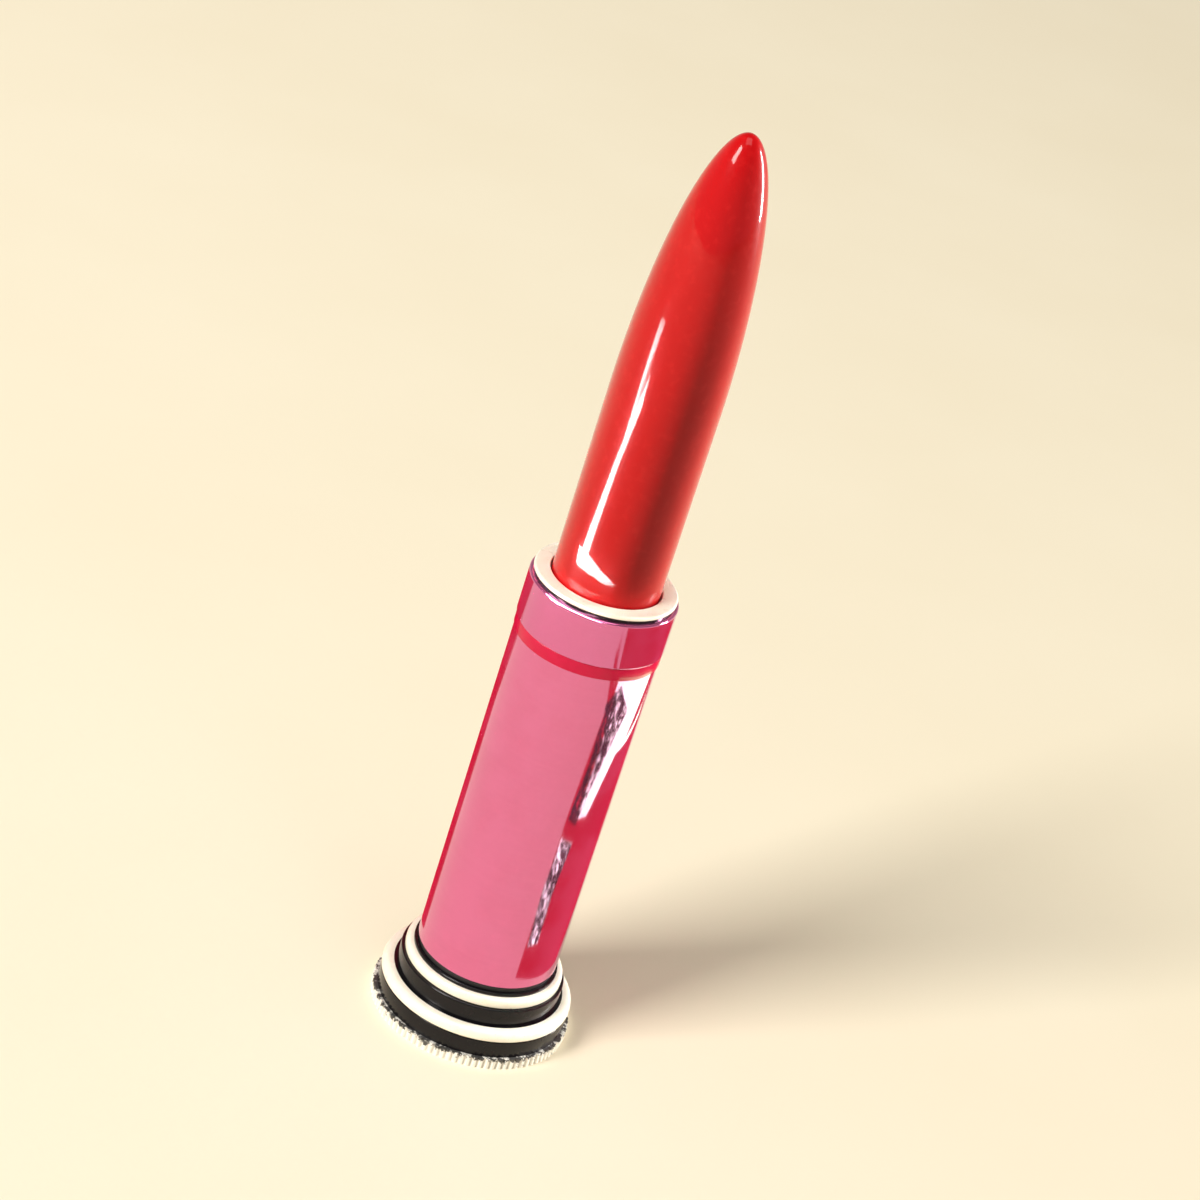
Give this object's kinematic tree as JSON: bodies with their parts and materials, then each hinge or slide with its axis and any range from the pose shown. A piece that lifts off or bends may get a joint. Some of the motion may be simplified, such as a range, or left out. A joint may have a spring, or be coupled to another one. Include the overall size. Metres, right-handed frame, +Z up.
{
  "type": "twist-up lipstick",
  "caption": "Twist-up lipstick shown wound up: pointed bullet in a plain sleeve on a stepped round base; turning the sleeve raises and lowers the bullet.",
  "frame": {"origin": "centre of the foot ring's underside, on the table", "axes": "+Z up the lipstick towards the bullet's tip; +X through one of the cup's two lugs when wound up"},
  "size_m": [0.019, 0.019, 0.0905],
  "materials": {
    "foot_ring": "polished, coin-edged",
    "bottom_cover": "gloss black",
    "shade_label": "plain, with a disc of the bullet's colour",
    "base_shell": "gloss black",
    "lower_trim_ring": "cream",
    "upper_trim_ring": "cream",
    "base_liner": "moulded",
    "base_weight": "turned",
    "slip_washer": "satin black",
    "spiral_tube": "drawn",
    "outer_sleeve": "pink lacquer",
    "colour_band": "magenta",
    "collar": "pink lacquer",
    "mouth_line_ring": "black",
    "mouth_ring": "cream",
    "guide_tube": "drawn",
    "top_washer": "moulded",
    "bottom_washer": "moulded",
    "retaining_ring": "stamped",
    "carrier_cup": "bright",
    "lipstick_bullet": "waxy red"
  },
  "bodies": {
    "base": {"foot_ring": "foot_ring", "bottom_cover": "bottom_cover", "shade_label": "shade_label", "base_shell": "base_shell", "lower_trim_ring": "lower_trim_ring", "upper_trim_ring": "upper_trim_ring", "base_liner": "base_liner", "base_weight": "base_weight", "slip_washer": "slip_washer", "spiral_tube": "spiral_tube"},
    "sleeve": {"outer_sleeve": "outer_sleeve", "colour_band": "colour_band", "collar": "collar", "mouth_line_ring": "mouth_line_ring", "mouth_ring": "mouth_ring", "guide_tube": "guide_tube", "top_washer": "top_washer", "bottom_washer": "bottom_washer", "retaining_ring": "retaining_ring"},
    "carrier": {"carrier_cup": "carrier_cup", "lipstick_bullet": "lipstick_bullet"}
  },
  "joints": [
    {"name": "sleeve_turn", "type": "hinge", "parent": "base", "child": "sleeve", "pos_m": [0, 0, 0], "axis": [0, 0, 1], "range_deg": [0, 874.21]},
    {"name": "bullet_rise", "type": "slide", "parent": "sleeve", "child": "carrier", "axis": [0, 0, 1], "range_m": [-0.0389, 0]}
  ],
  "couplings": [
    {"joint": "bullet_rise", "follows": "sleeve_turn", "m_per_rad": -0.0025465}
  ]
}
